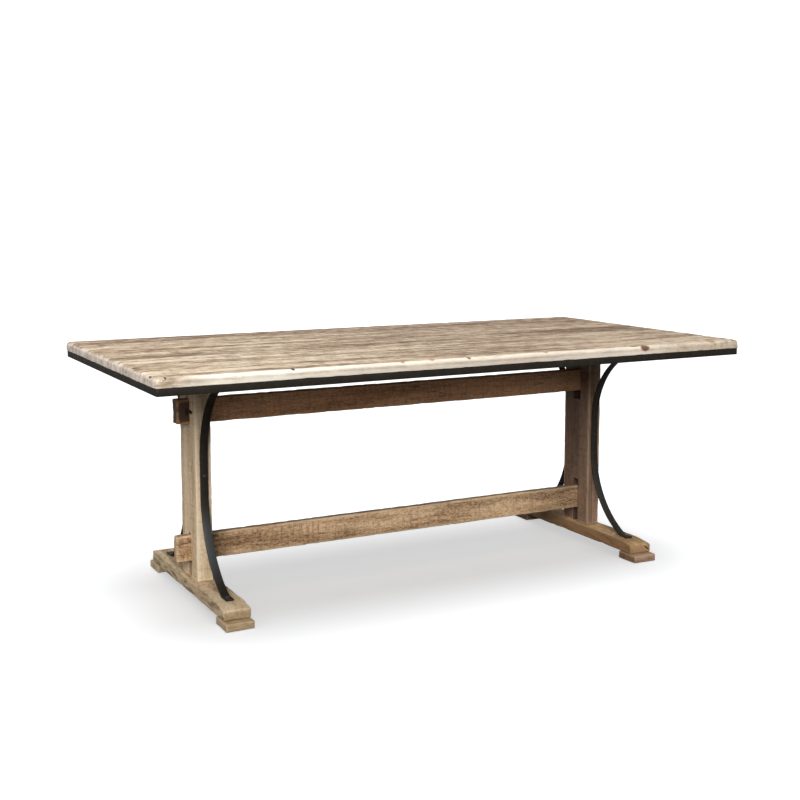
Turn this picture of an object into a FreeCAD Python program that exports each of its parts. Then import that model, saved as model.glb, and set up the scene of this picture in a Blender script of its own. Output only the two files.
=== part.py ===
import FreeCAD, Part
import Sketcher
import math
import os
import re

# Trestle dining table: a boarded top in an iron frame, carried by two wooden trestles.
# Origin on the floor under the middle of the top, X along the boards, Y to the back, Z up.

# Driving sizes in millimetres, and shares where a place follows another size
SIZES = {
    # Tabletop
    "table_height": 760,
    "top_length": 2000,
    "top_width": 1000,
    "plank_thickness": 28,
    "top_corner_radius": 20,
    "top_edge_radius": 13,
    # Iron frame of angle bar under the edge of the top
    "frame_setback": 4,
    "frame_height": 19,
    "frame_flange": 30,
    "frame_iron": 4,
    # Bearers under the boards
    "bearer_width": 90,
    "bearer_height": 35,
    "bearer_end_height": 20,
    "bearer_bevel_length": 75,
    "bearer_end_clearance": 6,
    # Posts and their stub tenons
    "trestle_setback": 272,
    "post_thickness": 50,
    "post_width": 144,
    "post_arris": 3,
    "tenon_thickness": 24,
    "tenon_depth": 22,
    "tenon_shoulder": 12,
    "joint_clearance": 0.2,
    # Feet and pads
    "foot_length": 690,
    "foot_width": 86,
    "foot_height": 38,
    "foot_end_height": 29,
    "foot_bevel_length": 62,
    "foot_arris": 3,
    "pad_length": 90,
    "pad_width": 88,
    "pad_height": 25,
    "pad_overhang": 26,
    "pad_arris": 3,
    # Rails that pass through both posts
    "upper_stretcher_height": 76,
    "upper_stretcher_thickness": 42,
    "upper_stretcher_drop": 76,
    "upper_stretcher_projection": 40,
    "upper_mortise_gap": 32,
    "lower_stretcher_height": 82,
    "lower_stretcher_thickness": 28,
    "lower_stretcher_rise": 53,
    "lower_stretcher_projection": 47,
    "lower_mortise_gap": 22,
    "stretcher_arris": 3,
    "peg_radius": 5,
    "peg_reach": 45,
    # Bent straps
    "strap_width": 25,
    "strap_thickness": 5,
    "strap_contact_length": 111,
    "strap_contact_share": 0.52,
    "strap_lower_reach": 170,
    "strap_upper_reach": 170,
    "strap_foot_tail": 36,
    "strap_bearer_tail": 45,
    # Screws
    "screw_head_radius": 4.5,
    "screw_head_height": 2.6,
    "screw_shank_radius": 2,
    "screw_crown": 1.2,
    "screw_bite": 18,
    "screw_clearance": 0.2,
    "counterbore_depth": 8,
    "cut_overrun": 2,
}

# Heights and places worked out from the driving sizes
DERIVED = {
    "plank_width": "top_width / plank_count",
    "top_underside": "table_height - plank_thickness",
    "bearer_underside": "top_underside - bearer_height",
    "foot_top": "pad_height + foot_height",
    "post_height": "bearer_underside - foot_top",
    "trestle_place": "top_length / 2 - trestle_setback",
    "post_face": "post_width / 2",
    "frame_length": "top_length - 2 * frame_setback",
    "frame_breadth": "top_width - 2 * frame_setback",
    "bearer_half": "frame_breadth / 2 - frame_flange - bearer_end_clearance",
    "pad_place": "foot_length / 2 + pad_overhang - pad_length / 2",
    "pad_screw_place": "foot_length / 2 - (pad_length - pad_overhang) / 2",
    "upper_level": "post_height - upper_stretcher_drop - upper_stretcher_height",
    "lower_top": "lower_stretcher_rise + lower_stretcher_height",
    "upper_slot": "upper_stretcher_thickness / 2 + joint_clearance",
    "lower_slot": "lower_stretcher_thickness / 2 + joint_clearance",
    "strap_middle": "strap_contact_share * post_height",
    "strap_face": "post_face + strap_thickness",
    "strap_bend_low": "strap_middle - strap_contact_length / 2",
    "strap_bend_high": "strap_middle + strap_contact_length / 2",
    "strap_lower_rise": "strap_bend_low - strap_thickness",
    "strap_upper_rise": "post_height - strap_thickness - strap_bend_high",
    "strap_lower_radius": "(strap_lower_rise ^ 2 + strap_lower_reach ^ 2) / (2 * strap_lower_reach)",
    "strap_upper_radius": "(strap_upper_rise ^ 2 + strap_upper_reach ^ 2) / (2 * strap_upper_reach)",
    "foot_screw_place": "strap_face + strap_lower_reach + strap_foot_tail / 2",
    "bearer_screw_place": "strap_face + strap_upper_reach + strap_bearer_tail / 2",
    "board_screw_offset": "(post_thickness + bearer_width) / 4",
    "pad_screw_offset": "foot_width / 4",
    "screw_hole": "screw_shank_radius + screw_clearance",
    "head_hole": "screw_head_radius + screw_clearance",
    "peg_hole": "peg_radius + joint_clearance",
}

PLANK_COUNT = 7
# Screws, pegs and their holes are drawn eight-sided
FASTENER_SIDES = 8
LONG_RAIL_SCREW_SHARES = (-0.375, -0.125, 0.125, 0.375)
SIDES = {"left": -1, "right": 1}
ENDS = {"front": -1, "back": 1}
# Two vertices this near in millimetres are the same place
SAME_PLACE = 1e-6

doc = FreeCAD.newDocument("trestle_dining_table")
sheet = doc.addObject("Spreadsheet::Sheet", "Sizes")
for row, (name, size) in enumerate(SIZES.items(), 1):
    sheet.set(f"A{row}", name)
    sheet.set(f"B{row}", str(size))
    sheet.setAlias(f"B{row}", name)
doc.recompute()


def formula(text):
    """Write a formula of size names as an expression on the sheet."""

    def put(match):
        word = match.group(0)
        if word == "plank_count":
            return str(PLANK_COUNT)
        if word in DERIVED:
            return "(" + formula(DERIVED[word]) + ")"
        return "Sizes." + word if word in SIZES else word

    return re.sub(r"[a-z_]+[a-z]", put, text)


def value(text):
    return float(sheet.evalExpression(formula(text)))


def near(length, text):
    return abs(length - value(text)) < SAME_PLACE


def new_body(label):
    body = doc.addObject("PartDesign::Body", label)
    body.Label = label
    return body


def place(thing, x="0", y="0", z="0", axis=(0, 0, 1), turn=0):
    """Turn a piece about an axis in degrees and bind its place to the sheet."""
    thing.Placement = FreeCAD.Placement(FreeCAD.Vector(), FreeCAD.Rotation(FreeCAD.Vector(*axis), turn))
    for name, text in zip("xyz", (x, y, z)):
        thing.setExpression(f"Placement.Base.{name}", formula(text))


def origin_plane(body, role):
    return next(item for item in body.Origin.OriginFeatures if item.Role == role)


def new_sketch(body, role, level="0"):
    """Open a sketch on one of the body's own planes, raised to a level along its normal."""
    sketch = body.newObject("Sketcher::SketchObject", body.Name + "_sketch")
    sketch.AttachmentSupport = [(origin_plane(body, role), "")]
    sketch.MapMode = "FlatFace"
    if level != "0":
        sketch.setExpression("AttachmentOffset.Base.z", formula(level))
    return sketch


def pin(sketch, curve, vertex, x, y):
    """Hold a point of the sketch at a place given by two formulas."""
    for kind, axis, text in (("DistanceX", -2, x), ("DistanceY", -1, y)):
        if text == "0":
            sketch.addConstraint(Sketcher.Constraint("PointOnObject", curve, vertex, axis))
        elif text:
            index = sketch.addConstraint(Sketcher.Constraint(kind, -1, 1, curve, vertex, value(text)))
            sketch.setExpression(f"Constraints[{index}]", formula(text))


def spot(x, y):
    return FreeCAD.Vector(value(x), value(y), 0)


def outline(sketch, corners):
    """Draw a closed outline of straight lines through corners given as pairs of formulas."""
    first = sketch.GeometryCount
    points = [spot(x, y) for x, y in corners]
    for start, end in zip(points, points[1:] + points[:1]):
        sketch.addGeometry(Part.LineSegment(start, end), False)
    for step, (x, y) in enumerate(corners):
        after = first + (step + 1) % len(corners)
        sketch.addConstraint(Sketcher.Constraint("Coincident", first + step, 2, after, 1))
        pin(sketch, first + step, 1, x, y)


def rectangle(sketch, left, right, low, high):
    outline(sketch, [(left, low), (right, low), (right, high), (left, high)])


def centred_rectangle(sketch, length, width):
    rectangle(sketch, f"-({length}) / 2", f"({length}) / 2", f"-({width}) / 2", f"({width}) / 2")


def grow(body, sketch, length, both=False, flip=False):
    """Grow a sketch into wood or iron, one way or evenly both ways."""
    feature = body.newObject("PartDesign::Pad", body.Name + "_pad")
    feature.Profile = sketch
    feature.setExpression("Length", formula(length))
    feature.SideType = "Symmetric" if both else "One side"
    feature.Reversed = flip
    doc.recompute()
    return feature


def pocket(body, sketch, depth="", flip=False):
    """Cut a sketch out of the body to a depth, or right through both ways."""
    before = body.Shape.Volume
    feature = body.newObject("PartDesign::Pocket", body.Name + "_pocket")
    feature.Profile = sketch
    if depth:
        feature.setExpression("Length", formula(depth))
    else:
        feature.Type = "ThroughAll"
        feature.SideType = "Symmetric"
    feature.Reversed = flip
    doc.recompute()
    if not body.Shape.Volume < before:
        raise RuntimeError(f"{body.Label}: a cut took nothing away")
    return feature


def prism(body, kind, role, centre, radius, height):
    """Add or take away an eight-sided bar that rises from its centre along a plane's normal."""
    bar = body.newObject(f"PartDesign::{kind}Prism", body.Name + "_bar")
    bar.AttachmentSupport = [(origin_plane(body, role), "")]
    bar.MapMode = "FlatFace"
    bar.Polygon = FASTENER_SIDES
    bar.setExpression("Circumradius", formula(radius))
    bar.setExpression("Height", formula(height))
    for name, text in zip("xyz", centre):
        bar.setExpression(f"AttachmentOffset.Base.{name}", formula(text))
    return bar


def drill(body, role, spots, radius, start, depth):
    """Bore holes at the spots, from a start along the plane's normal and to a depth."""
    before = body.Shape.Volume
    for x, y in spots:
        prism(body, "Subtractive", role, (x, y, start), radius, depth)
    doc.recompute()
    if not body.Shape.Volume < before:
        raise RuntimeError(f"{body.Label}: the holes took nothing away")


def edges_where(feature, test):
    """Name the edges whose ends and middle all pass the test."""
    found = []
    for count, edge in enumerate(feature.Shape.Edges, 1):
        points = [vertex.Point for vertex in edge.Vertexes] + [edge.CenterOfMass]
        if all(test(point) for point in points):
            found.append(f"Edge{count}")
    return found


def ease(body, feature, names, amount, cut="Fillet", size="Radius"):
    """Round off or chamfer the named edges of the body's last feature."""
    eased = body.newObject(f"PartDesign::{cut}", body.Name + "_ease")
    eased.Base = (feature, names)
    eased.setExpression(size, formula(amount))
    doc.recompute()
    return eased


# Boards of the top
def make_plank(number):
    body = new_body(f"top_plank_{number}")
    sketch = new_sketch(body, "XY_Plane")
    centred_rectangle(sketch, "top_length", "plank_width")
    feature = grow(body, sketch, "plank_thickness")
    outer = {1: "-plank_width / 2", PLANK_COUNT: "plank_width / 2"}.get(number)
    joints = [side for side in ("-plank_width / 2", "plank_width / 2") if side != outer]
    if outer:
        corners = edges_where(feature, lambda p: near(abs(p.x), "top_length / 2") and near(p.y, outer))
        feature = ease(body, feature, corners, "top_corner_radius")
    upper = edges_where(feature, lambda p: near(p.z, "plank_thickness"))
    glued = [name for side in joints for name in edges_where(feature, lambda p: near(p.y, side))]
    ease(body, feature, [name for name in upper if name not in glued], "top_edge_radius")

    # Pilot holes for the screws of the frame and the bearers
    end_row = "frame_length / 2 - frame_flange / 2"
    bearer_row = "trestle_place + board_screw_offset"
    rows = [f"{sign}({row})" for row in (end_row, bearer_row) for sign in ("-", "")]
    spots = [(row, "0") for row in rows]
    if outer:
        across = f"({outer}) / (plank_width / 2) * (plank_width / 2 - frame_setback - frame_flange / 2)"
        spots += [(f"{share} * frame_length", across) for share in LONG_RAIL_SCREW_SHARES]
    drill(body, "XY_Plane", spots, "screw_hole", "0", "screw_bite + screw_clearance")
    place(body, y=plank_row(number), z="top_underside")
    return body


def plank_row(number):
    return f"({number} - (plank_count + 1) / 2) * plank_width"


# Angle bars of the frame, outer face on the local X axis and flange pointing along local Y
def make_rail(end, length, screw_places, x="0", y="0", turn=0):
    body = new_body(f"frame_rail_{end}")
    section = new_sketch(body, "YZ_Plane")
    outline(section, [
        ("0", "0"),
        ("frame_iron", "0"),
        ("frame_iron", "frame_height - frame_iron"),
        ("frame_flange", "frame_height - frame_iron"),
        ("frame_flange", "frame_height"),
        ("0", "frame_height"),
    ])
    grow(body, section, length, both=True)
    mitre = new_sketch(body, "XY_Plane")
    for sign in ("-", ""):
        tip = f"{sign}({length}) / 2"
        inner = f"{sign}(({length}) / 2 - frame_flange)"
        outline(mitre, [(tip, "0"), (tip, "frame_flange"), (inner, "frame_flange")])
    pocket(body, mitre)
    spots = [(along, "frame_flange / 2") for along in screw_places]
    drill(body, "XY_Plane", spots, "screw_hole", "0", "frame_height + cut_overrun")
    place(body, x, y, "top_underside - frame_height", turn=turn)
    return body


def make_frame():
    along = [f"{share} * frame_length" for share in LONG_RAIL_SCREW_SHARES]
    across = [plank_row(number) for number in range(1, PLANK_COUNT + 1)]
    return [
        make_rail("front", "frame_length", along, y="-frame_breadth / 2"),
        make_rail("back", "frame_length", along, y="frame_breadth / 2", turn=180),
        make_rail("left", "frame_breadth", across, x="-frame_length / 2", turn=-90),
        make_rail("right", "frame_breadth", across, x="frame_length / 2", turn=90),
    ]


# Bearers that carry the boards on the trestles
def make_bearer(side):
    body = new_body(f"bearer_{side}")
    profile = new_sketch(body, "YZ_Plane")
    half = [
        ("bearer_half - bearer_bevel_length", "0"),
        ("bearer_half", "bearer_height - bearer_end_height"),
        ("bearer_half", "bearer_height"),
    ]
    outline(profile, half + [(f"-({y})", z) for y, z in reversed(half)])
    grow(body, profile, "bearer_width", both=True)
    mortise = new_sketch(body, "XY_Plane")
    centred_rectangle(
        mortise,
        "tenon_thickness + 2 * joint_clearance",
        "post_width - 2 * tenon_shoulder + 2 * joint_clearance",
    )
    pocket(body, mortise, "tenon_depth + joint_clearance", flip=True)
    straps = [("0", f"{sign}(bearer_screw_place)") for sign in ("-", "")]
    drill(body, "XY_Plane", straps, "screw_hole", "0", "screw_bite + screw_clearance")
    outward = SIDES[side]
    boards = [(f"{outward} * board_screw_offset", plank_row(number)) for number in range(1, PLANK_COUNT + 1)]
    drill(body, "XY_Plane", boards, "screw_hole", "0", "bearer_height + cut_overrun")
    drill(body, "XY_Plane", boards, "head_hole", "-cut_overrun", "counterbore_depth + cut_overrun")
    place(body, f"{outward} * trestle_place", z="bearer_underside")
    return body


# Posts with a closed mortise above, an open slot below and stub tenons at both ends
def make_post(side):
    body = new_body(f"post_{side}")
    section = new_sketch(body, "XY_Plane")
    centred_rectangle(section, "post_thickness", "post_width")
    shaft = grow(body, section, "post_height")
    narrow_sides = edges_where(shaft, lambda p: near(abs(p.y), "post_face"))
    wide_sides = edges_where(shaft, lambda p: near(abs(p.x), "post_thickness / 2"))
    ease(body, shaft, [name for name in wide_sides if name in narrow_sides], "post_arris")

    upper_tenon = new_sketch(body, "XY_Plane", "post_height")
    centred_rectangle(upper_tenon, "tenon_thickness", "post_width - 2 * tenon_shoulder")
    grow(body, upper_tenon, "tenon_depth")
    lower_tenons = new_sketch(body, "XY_Plane")
    for near_end, far_end in twin_tenons("0"):
        rectangle(lower_tenons, "-tenon_thickness / 2", "tenon_thickness / 2", near_end, far_end)
    grow(body, lower_tenons, "tenon_depth", flip=True)

    openings = new_sketch(body, "YZ_Plane")
    rectangle(
        openings,
        "-upper_slot",
        "upper_slot",
        "upper_level - upper_mortise_gap",
        "upper_level + upper_stretcher_height + joint_clearance",
    )
    rectangle(openings, "-lower_slot", "lower_slot", "0", "lower_top + lower_mortise_gap")
    pocket(body, openings)

    bite = "(screw_bite + screw_clearance)"
    for start in (f"post_face - {bite}", "-post_face"):
        drill(body, "XZ_Plane", [("0", "strap_middle")], "screw_hole", start, bite)
    pegs = [
        ("0", "upper_level + upper_stretcher_height / 2"),
        ("0", "lower_stretcher_rise + lower_stretcher_height / 2"),
    ]
    drill(body, "XZ_Plane", pegs, "peg_hole", "-post_face", "post_face + peg_reach + joint_clearance")
    place(body, f"{SIDES[side]} * trestle_place", z="foot_top")
    return body


def twin_tenons(clearance):
    """Give the ends along Y of the two tenons that stand beside the lower slot."""
    inner = f"lower_slot + tenon_shoulder / 2 - {clearance}"
    outer = f"post_face - tenon_shoulder + {clearance}"
    return [(f"-({outer})", f"-({inner})"), (inner, outer)]


# Feet with bevelled ends, and the pads under them
def make_foot(side):
    body = new_body(f"foot_{side}")
    profile = new_sketch(body, "YZ_Plane")
    half = [
        ("foot_length / 2", "0"),
        ("foot_length / 2", "foot_end_height"),
        ("foot_length / 2 - foot_bevel_length", "foot_height"),
    ]
    outline(profile, half + [(f"-({y})", z) for y, z in reversed(half)])
    beam = grow(body, profile, "foot_width", both=True)
    sides = edges_where(beam, lambda p: near(abs(p.x), "foot_width / 2"))
    lower = edges_where(beam, lambda p: near(p.z, "0"))
    ease(body, beam, [name for name in sides if name not in lower], "foot_arris")
    mortises = new_sketch(body, "XY_Plane", "foot_height")
    for near_end, far_end in twin_tenons("joint_clearance"):
        breadth = "(tenon_thickness / 2 + joint_clearance)"
        rectangle(mortises, f"-{breadth}", breadth, near_end, far_end)
    pocket(body, mortises, "tenon_depth + joint_clearance")
    straps = [("0", f"{sign}(foot_screw_place)") for sign in ("-", "")]
    bite = "(screw_bite + screw_clearance)"
    drill(body, "XY_Plane", straps, "screw_hole", f"foot_height - {bite}", bite)
    pads = [
        (f"{across} * pad_screw_offset", f"{end} * pad_screw_place")
        for across in (-1, 1)
        for end in ENDS.values()
    ]
    drill(body, "XY_Plane", pads, "screw_hole", "0", bite)
    place(body, f"{SIDES[side]} * trestle_place", z="pad_height")
    return body


def make_pad(end, side):
    body = new_body(f"pad_{end}_{side}")
    sketch = new_sketch(body, "XY_Plane")
    centred_rectangle(sketch, "pad_width", "pad_length")
    block = grow(body, sketch, "pad_height")
    lower = edges_where(block, lambda p: near(p.z, "0"))
    edges = [f"Edge{count}" for count in range(1, len(block.Shape.Edges) + 1)]
    ease(body, block, [name for name in edges if name not in lower], "pad_arris", cut="Chamfer", size="Size")
    inward = f"{ENDS[end]} * (pad_screw_place - pad_place)"
    spots = [(f"{across} * pad_screw_offset", inward) for across in (-1, 1)]
    drill(body, "XY_Plane", spots, "screw_hole", "0", "pad_height + cut_overrun")
    drill(body, "XY_Plane", spots, "head_hole", "-cut_overrun", "counterbore_depth + cut_overrun")
    place(body, f"{SIDES[side]} * trestle_place", f"{ENDS[end]} * pad_place")
    return body


# Long rails through both posts
def make_stretcher(name, level):
    body = new_body(f"{name}_stretcher")
    height = f"{name}_stretcher_height"
    thickness = f"{name}_stretcher_thickness"
    section = new_sketch(body, "YZ_Plane")
    rectangle(section, f"-{thickness} / 2", f"{thickness} / 2", "0", height)
    half_length = f"(trestle_place + post_thickness / 2 + {name}_stretcher_projection)"
    beam = grow(body, section, f"2 * {half_length}", both=True)
    end_edges = edges_where(beam, lambda p: near(abs(p.x), half_length))
    edges = [f"Edge{count}" for count in range(1, len(beam.Shape.Edges) + 1)]
    ease(body, beam, [edge for edge in edges if edge not in end_edges], "stretcher_arris")
    spots = [(f"{side} * trestle_place", f"{height} / 2") for side in SIDES.values()]
    drill(body, "XZ_Plane", spots, "peg_hole", f"-{thickness}", f"2 * {thickness}")
    place(body, z=f"foot_top + {level}")
    return body


# Straps bent outwards at both ends, flat against the post between the bends
def make_strap(end, side):
    body = new_body(f"strap_{end}_{side}")
    profile = new_sketch(body, "YZ_Plane")
    strap_outline(profile)
    grow(body, profile, "strap_width", both=True)
    through = "(strap_thickness + 2 * cut_overrun)"
    drill(body, "XZ_Plane", [("0", "strap_middle")], "screw_hole", "post_face - cut_overrun", through)
    drill(body, "XY_Plane", [("0", "-foot_screw_place")], "screw_hole", "-cut_overrun", through)
    top = f"post_height + cut_overrun - {through}"
    drill(body, "XY_Plane", [("0", "-bearer_screw_place")], "screw_hole", top, through)
    place(body, f"{SIDES[side]} * trestle_place", z="foot_top", turn=0 if end == "front" else 180)
    return body


def strap_outline(sketch):
    """Draw the strap edge on: two tails, two bends on common centres and a straight run."""
    low_front = ("-(strap_face + strap_lower_reach)", "strap_thickness")
    high_front = ("-(strap_face + strap_upper_reach)", "post_height - strap_thickness")
    foot_end = "-(strap_face + strap_lower_reach + strap_foot_tail)"
    bearer_end = "-(strap_face + strap_upper_reach + strap_bearer_tail)"
    corners = {
        "foot_end_low": (foot_end, "0"),
        "foot_end_high": (foot_end, "strap_thickness"),
        "low_front": low_front,
        "front_low": ("-strap_face", "strap_bend_low"),
        "front_high": ("-strap_face", "strap_bend_high"),
        "high_front": high_front,
        "bearer_end_low": (bearer_end, "post_height - strap_thickness"),
        "bearer_end_high": (bearer_end, "post_height"),
        "back_high": ("-post_face", "strap_bend_high"),
        "back_low": ("-post_face", "strap_bend_low"),
    }
    low_centre = spot("-(strap_face + strap_lower_radius)", "strap_bend_low")
    high_centre = spot("-(strap_face + strap_upper_radius)", "strap_bend_high")
    points = {name: spot(*corner) for name, corner in corners.items()}
    lower = value("strap_lower_radius")
    upper = value("strap_upper_radius")
    iron = value("strap_thickness")
    points["back_foot"] = low_centre + meeting(lower + iron, -value("strap_bend_low"))
    points["back_bearer"] = high_centre + meeting(upper + iron, value("post_height - strap_bend_high"))

    def line(start, end):
        return sketch.addGeometry(Part.LineSegment(points[start], points[end]), False)

    def bend(centre, start, end):
        reach = points[start] - centre
        leave = points[end] - centre
        ring = Part.Circle(centre, FreeCAD.Vector(0, 0, 1), reach.Length)
        arc = Part.ArcOfCircle(ring, math.atan2(reach.y, reach.x), math.atan2(leave.y, leave.x))
        return sketch.addGeometry(arc, False)

    chain = [
        line("foot_end_low", "foot_end_high"),
        line("foot_end_high", "low_front"),
        bend(low_centre, "low_front", "front_low"),
        line("front_low", "front_high"),
        bend(high_centre, "front_high", "high_front"),
        line("high_front", "bearer_end_low"),
        line("bearer_end_low", "bearer_end_high"),
        line("bearer_end_high", "back_bearer"),
    ]
    inner_high = bend(high_centre, "back_high", "back_bearer")
    inner_run = line("back_high", "back_low")
    inner_low = bend(low_centre, "back_foot", "back_low")
    sole = line("back_foot", "foot_end_low")

    join = [(chain[step], 2, chain[step + 1], 1) for step in (0, 1, 4, 5, 6)]
    join += [(chain[7], 2, inner_high, 2), (inner_high, 1, inner_run, 1), (inner_run, 2, inner_low, 2)]
    join += [(inner_low, 1, sole, 1), (sole, 2, chain[0], 1)]
    join += [(inner_low, 3, chain[2], 3), (inner_high, 3, chain[4], 3)]
    for ends in join:
        sketch.addConstraint(Sketcher.Constraint("Coincident", *ends))
    sketch.addConstraint(Sketcher.Constraint("Tangent", chain[2], 2, chain[3], 1))
    sketch.addConstraint(Sketcher.Constraint("Tangent", chain[3], 2, chain[4], 1))
    pinned = {
        (chain[0], 1): "foot_end_low",
        (chain[1], 1): "foot_end_high",
        (chain[1], 2): "low_front",
        (chain[3], 1): "front_low",
        (chain[5], 1): "high_front",
        (chain[6], 1): "bearer_end_low",
        (chain[7], 1): "bearer_end_high",
        (inner_run, 1): "back_high",
        (inner_run, 2): "back_low",
    }
    for (curve, vertex), name in pinned.items():
        pin(sketch, curve, vertex, *corners[name])
    pin(sketch, chain[3], 2, "", "strap_bend_high")
    pin(sketch, sole, 1, "", "0")
    pin(sketch, chain[7], 2, "", "post_height")


def meeting(radius, rise):
    """Step from a bend's centre to where its circle reaches a rise."""
    return FreeCAD.Vector(math.sqrt(radius ** 2 - rise ** 2), rise, 0)


# Screws and pegs, each kind a group of separate pieces
def screw_group(label, length, spots):
    """Make one screw, head down on its seat and shank up, and set copies of it at the spots."""
    body = new_body(label + "_pattern")
    seat = ("0", "0", "-screw_head_height")
    head = prism(body, "Additive", "XY_Plane", seat, "screw_head_radius", "screw_head_height")
    doc.recompute()
    crown = edges_where(head, lambda p: near(p.z, "-screw_head_height"))
    ease(body, head, crown, "screw_crown", cut="Chamfer", size="Size")
    prism(body, "Additive", "XY_Plane", ("0", "0", "0"), "screw_shank_radius", length)
    doc.recompute()
    return copies(label, body, spots)


def copies(label, pattern, spots):
    links = []
    for count, (x, y, z, turn) in enumerate(spots, 1):
        link = doc.addObject("App::Link", f"{label}_{count}")
        link.LinkedObject = pattern
        place(link, x, y, z, axis=(1, 0, 0), turn=turn)
        links.append(link)
    group = doc.addObject("Part::Compound", label)
    group.Label = label
    group.Links = links
    return group


def trestle_spots(y, z, turns):
    """Repeat a place on both trestles, front and back."""
    return [
        (f"{side} * trestle_place", f"{end} * ({y})", z, turns[end])
        for side in SIDES.values()
        for end in ENDS.values()
    ]


def make_screws():
    up = {-1: 0, 1: 0}
    down = {-1: 180, 1: 180}
    inward = {-1: -90, 1: 90}
    rows = [plank_row(number) for number in range(1, PLANK_COUNT + 1)]
    flange = "top_underside - frame_iron"
    along = [
        (f"{share} * frame_length", f"{end} * (frame_breadth - frame_flange) / 2", flange, 0)
        for share in LONG_RAIL_SCREW_SHARES
        for end in ENDS.values()
    ]
    across = [
        (f"{side} * (frame_length - frame_flange) / 2", row, flange, 0)
        for side in SIDES.values()
        for row in rows
    ]
    board_level = "bearer_underside + counterbore_depth"
    boards = [
        (f"{side} * (trestle_place + board_screw_offset)", row, board_level, 0)
        for side in SIDES.values()
        for row in rows
    ]
    pads = [
        (f"{row} * pad_screw_offset", f"{end} * pad_screw_place", "counterbore_depth", 0)
        for row in [f"{side} * trestle_place + {beside}" for side in SIDES.values() for beside in (-1, 1)]
        for end in ENDS.values()
    ]
    strap = "strap_thickness + screw_bite"
    post_level = "foot_top + strap_middle"
    foot_level = "foot_top + strap_thickness"
    bearer_level = "bearer_underside - strap_thickness"
    return [
        screw_group("strap_post_screws", strap, trestle_spots("strap_face", post_level, inward)),
        screw_group("strap_foot_screws", strap, trestle_spots("foot_screw_place", foot_level, down)),
        screw_group("strap_bearer_screws", strap, trestle_spots("bearer_screw_place", bearer_level, up)),
        screw_group("frame_screws", "frame_iron + screw_bite", along + across),
        screw_group("bearer_screws", "bearer_height - counterbore_depth + screw_bite", boards),
        screw_group("pad_screws", "pad_height - counterbore_depth + screw_bite", pads),
    ]


def make_pegs():
    body = new_body("stretcher_pegs_pattern")
    prism(body, "Additive", "XY_Plane", ("0", "0", "0"), "peg_radius", "post_face + peg_reach")
    doc.recompute()
    levels = (
        "foot_top + upper_level + upper_stretcher_height / 2",
        "foot_top + lower_stretcher_rise + lower_stretcher_height / 2",
    )
    spots = [
        (f"{side} * trestle_place", "post_face", level, 90)
        for side in SIDES.values()
        for level in levels
    ]
    return copies("stretcher_pegs", body, spots)


pieces = [make_plank(number) for number in range(1, PLANK_COUNT + 1)]
pieces += make_frame()
for side_name in SIDES:
    pieces += [make_bearer(side_name), make_post(side_name), make_foot(side_name)]
    for end_name in ENDS:
        pieces += [make_pad(end_name, side_name), make_strap(end_name, side_name)]
pieces += [make_stretcher("upper", "upper_level"), make_stretcher("lower", "lower_stretcher_rise")]
pieces += make_screws()
pieces.append(make_pegs())
doc.recompute()

for thing in doc.Objects:
    if {"Invalid", "Error"} & set(thing.State):
        raise RuntimeError(f"{thing.Label} failed: {thing.State}")
for piece in pieces:
    if piece.Shape.isNull() or not piece.Shape.isValid():
        raise RuntimeError(f"{piece.Label} has no sound shape")

os.makedirs("parts", exist_ok=True)
for piece in pieces:
    piece.Shape.exportStep(f"parts/{piece.Label}.step")
    print(piece.Label, len(piece.Shape.Solids), round(piece.Shape.Volume / 1000, 1), "cm3")
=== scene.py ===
import math

import bmesh
import bpy
import numpy as np
from mathutils import Matrix, Vector


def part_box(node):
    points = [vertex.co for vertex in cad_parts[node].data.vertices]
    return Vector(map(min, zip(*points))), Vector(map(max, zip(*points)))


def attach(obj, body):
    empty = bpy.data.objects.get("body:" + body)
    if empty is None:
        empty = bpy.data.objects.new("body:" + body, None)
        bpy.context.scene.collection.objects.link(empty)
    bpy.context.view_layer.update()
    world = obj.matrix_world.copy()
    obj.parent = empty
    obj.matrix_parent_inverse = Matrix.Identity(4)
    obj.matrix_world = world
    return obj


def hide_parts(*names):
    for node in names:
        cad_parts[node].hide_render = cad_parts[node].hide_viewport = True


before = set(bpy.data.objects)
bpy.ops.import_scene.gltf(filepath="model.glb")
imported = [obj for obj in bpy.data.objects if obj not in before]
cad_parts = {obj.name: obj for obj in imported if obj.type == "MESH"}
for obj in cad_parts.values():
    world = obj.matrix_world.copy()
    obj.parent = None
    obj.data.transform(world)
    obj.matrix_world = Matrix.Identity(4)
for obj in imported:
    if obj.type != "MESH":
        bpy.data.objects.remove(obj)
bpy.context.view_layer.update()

X, Y, Z = range(3)
SIDES = {"left": -1, "right": 1}
ENDS = {"front": -1, "back": 1}
SAME_PLACE = 1e-5
SQUARE_ON = 0.99
CUT_OVERRUN = 0.002

# Boards of the top
PLANK_COUNT = 7
TOP_CORNER_RADIUS = 0.0135
TOP_EDGE_RADIUS = 0.013
SEAM_EASE = 0.0012
PLANK_END_ZONE = 0.040
PLANK_END_STEP = 0.010
CHIP_PLACE = Vector((0.603, -0.509, 0.753))
CHIP_HALF_WIDTH = 0.019
CHIP_HEIGHT = 0.030

# Iron
FRAME_IRON = 0.004
FRAME_DEEPER = 0.003
FRAME_CORNER_BLUNT = 0.0025
IRON_EASE = 0.0008
STRAP_THICKNESS = 0.005
STRAP_CONTACT_LENGTH = 0.111
STRAP_CONTACT_SHARE = 0.52
STRAP_REACH = 0.170
STRAP_FOOT_TAIL = 0.036
STRAP_BEARER_TAIL = 0.045

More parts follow.
